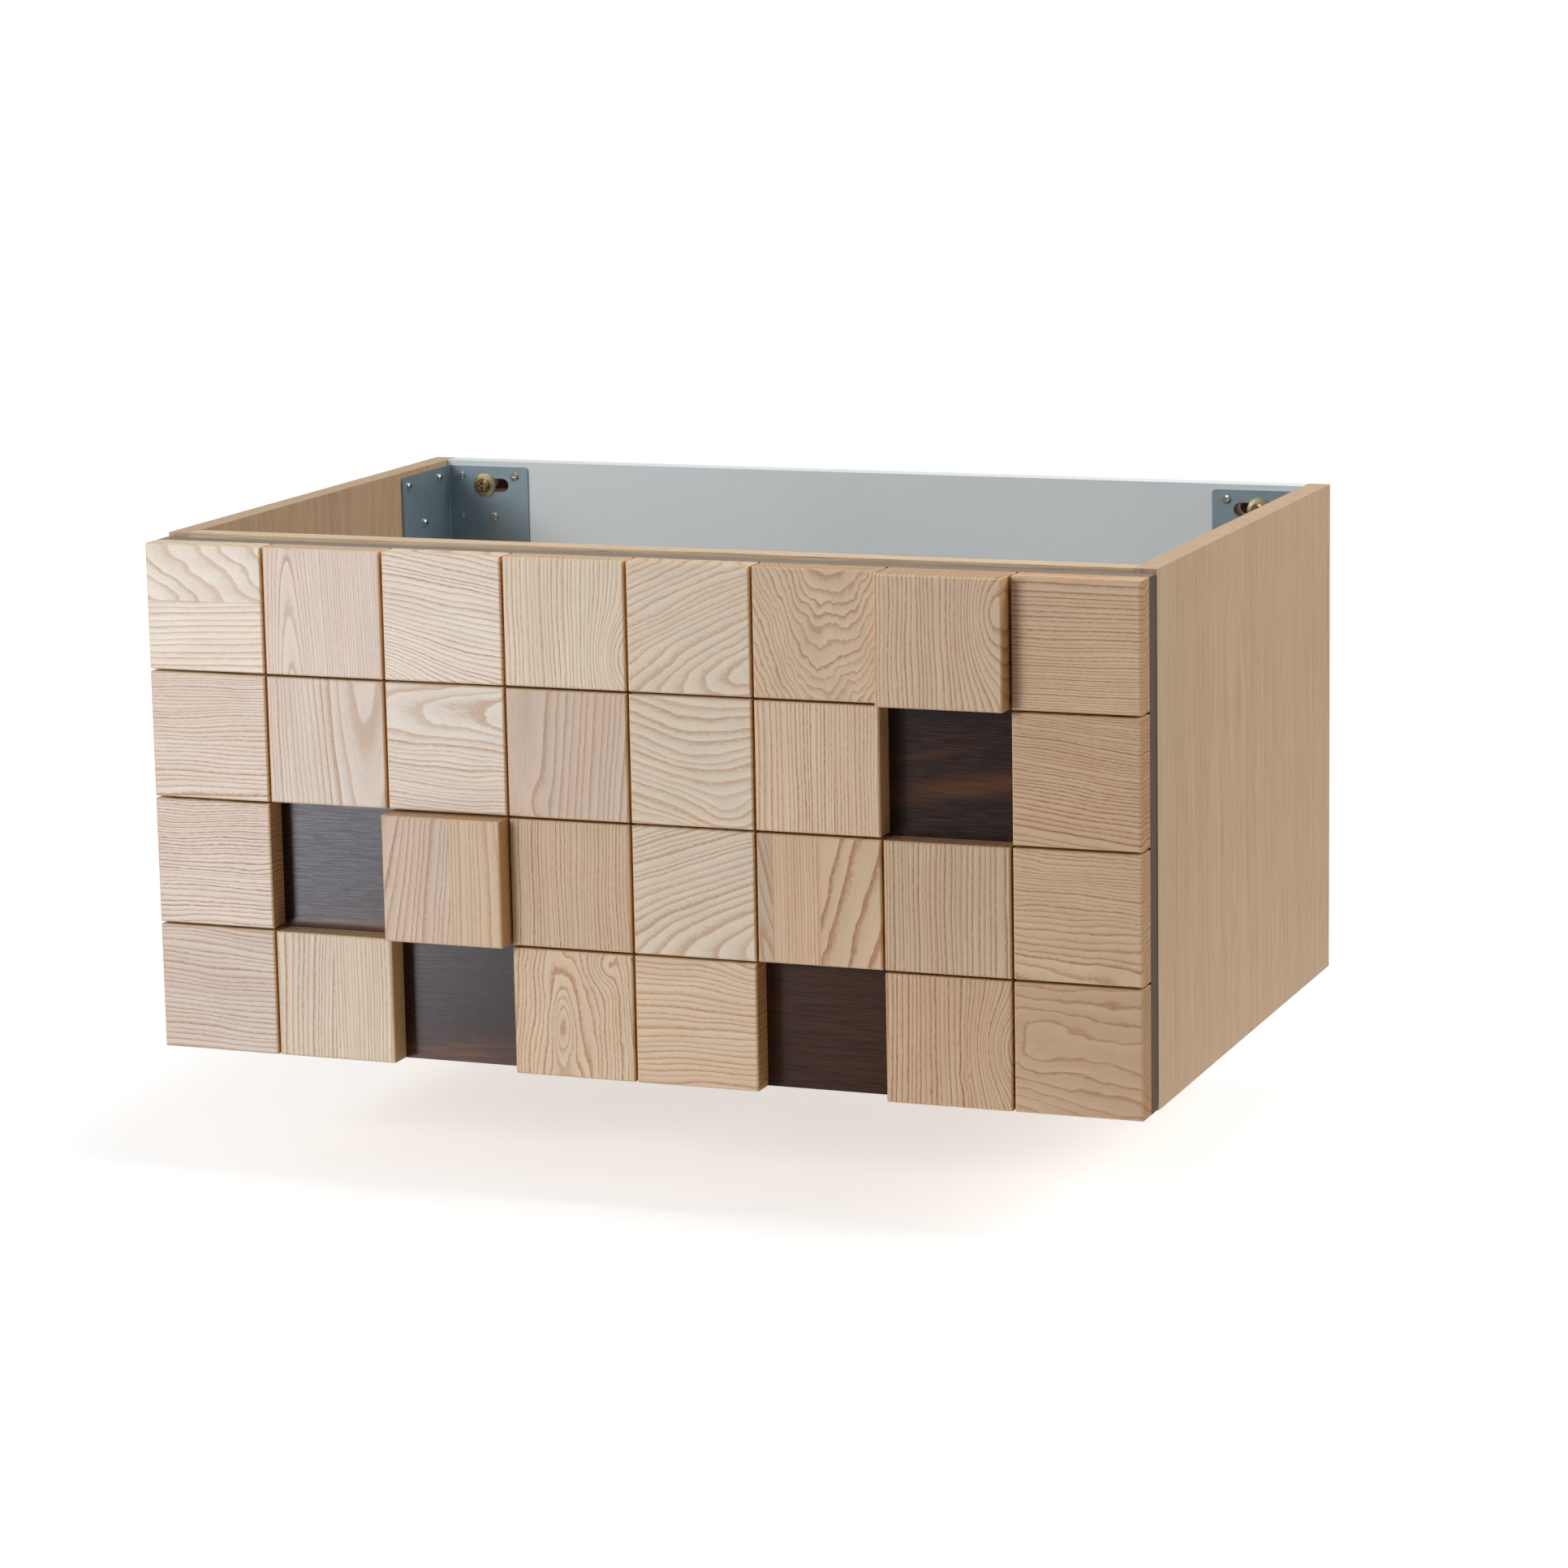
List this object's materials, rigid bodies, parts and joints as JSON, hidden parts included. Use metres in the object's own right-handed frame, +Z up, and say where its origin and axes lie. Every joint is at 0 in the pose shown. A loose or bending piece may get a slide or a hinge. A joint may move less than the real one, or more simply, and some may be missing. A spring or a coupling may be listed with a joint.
{
  "type": "washbasin cabinet",
  "caption": "Wall-hung washbasin cabinet, open at the top, with a full-height drawer faced in a grid of solid wood blocks, some left out and some standing proud as grips.",
  "frame": {"origin": "middle of the base of the overall box, the wall screws included", "axes": "+Z up, -Y out of the drawer's front, +Y into the wall, +X to the right as one faces the front"},
  "size_m": [0.8, 0.592, 0.402],
  "materials": {
    "solid_ash": "oiled solid ash, fine brushed grain",
    "wenge_board": "dark wenge decor, satin, fine cross grain",
    "light_wood_board": "light larch decor on board, satin",
    "white_board": "white melamine, satin",
    "zinc_plate": "blue-passivated zinc plate, satin",
    "nickel_screw": "nickel-plated steel",
    "bronze_screw": "yellow-brown passivated steel",
    "yellow_zinc": "yellow-passivated zinc",
    "cast_zinc": "raw die-cast zinc",
    "beech": "raw beech",
    "soft_stop": "clear soft plastic",
    "runner_steel": "bright zinc on cold-rolled steel",
    "ball_steel": "polished bearing steel in a zinc strip",
    "drawer_board": "light grey melamine board",
    "drawer_base": "light grey melamine board",
    "grey_plastic": "moulded grey plastic"
  },
  "bodies": {
    "cabinet": {"left_side_panel": "light_wood_board", "right_side_panel": "light_wood_board", "back_panel": "white_board", "bottom_panel": "light_wood_board", "front_rail": "light_wood_board", "left_hanging_bracket": "zinc_plate", "right_hanging_bracket": "zinc_plate", "bracket_screws": "nickel_screw", "wall_screws": "bronze_screw", "wall_washers": "yellow_zinc", "cam_fittings": "cast_zinc", "carcass_dowels": "beech", "front_bumpers": "soft_stop", "left_cabinet_runner": "runner_steel", "right_cabinet_runner": "runner_steel", "cabinet_runner_screws": "nickel_screw"},
    "drawer": {"front_carrier": "wenge_board", "block_r1_c1": "solid_ash", "block_r1_c2": "solid_ash", "block_r1_c3": "solid_ash", "block_r1_c4": "solid_ash", "block_r1_c5": "solid_ash", "block_r1_c6": "solid_ash", "block_r1_c7": "solid_ash", "block_r1_c8": "solid_ash", "block_r2_c1": "solid_ash", "block_r2_c2": "solid_ash", "block_r2_c3": "solid_ash", "block_r2_c4": "solid_ash", "block_r2_c5": "solid_ash", "block_r2_c6": "solid_ash", "block_r2_c8": "solid_ash", "block_r3_c1": "solid_ash", "block_r3_c3": "solid_ash", "block_r3_c4": "solid_ash", "block_r3_c5": "solid_ash", "block_r3_c6": "solid_ash", "block_r3_c7": "solid_ash", "block_r3_c8": "solid_ash", "block_r4_c1": "solid_ash", "block_r4_c2": "solid_ash", "block_r4_c4": "solid_ash", "block_r4_c5": "solid_ash", "block_r4_c7": "solid_ash", "block_r4_c8": "solid_ash", "left_drawer_side": "drawer_board", "right_drawer_side": "drawer_board", "drawer_inner_front": "drawer_board", "left_drawer_back": "drawer_board", "right_drawer_back": "drawer_board", "drawer_bottom": "drawer_base", "siphon_liner": "grey_plastic", "front_fixing_screws": "nickel_screw", "left_drawer_runner": "runner_steel", "right_drawer_runner": "runner_steel", "drawer_runner_screws": "nickel_screw"},
    "runner_middles": {"left_middle_runner": "runner_steel", "right_middle_runner": "runner_steel"},
    "outer_cages": {"outer_ball_cages": "ball_steel"},
    "inner_cages": {"inner_ball_cages": "ball_steel"}
  },
  "joints": [
    {"name": "drawer_slide", "type": "slide", "parent": "cabinet", "child": "drawer", "axis": [0, -1, 0], "range_m": [0, 0.44]},
    {"name": "middle_slide", "type": "slide", "parent": "cabinet", "child": "runner_middles", "axis": [0, -1, 0], "range_m": [0, 0.22]},
    {"name": "outer_cage_slide", "type": "slide", "parent": "cabinet", "child": "outer_cages", "axis": [0, -1, 0], "range_m": [0, 0.11]},
    {"name": "inner_cage_slide", "type": "slide", "parent": "cabinet", "child": "inner_cages", "axis": [0, -1, 0], "range_m": [0, 0.33]}
  ],
  "couplings": [
    {"joint": "middle_slide", "follows": "drawer_slide", "ratio": 0.5},
    {"joint": "outer_cage_slide", "follows": "drawer_slide", "ratio": 0.25},
    {"joint": "inner_cage_slide", "follows": "drawer_slide", "ratio": 0.75}
  ]
}
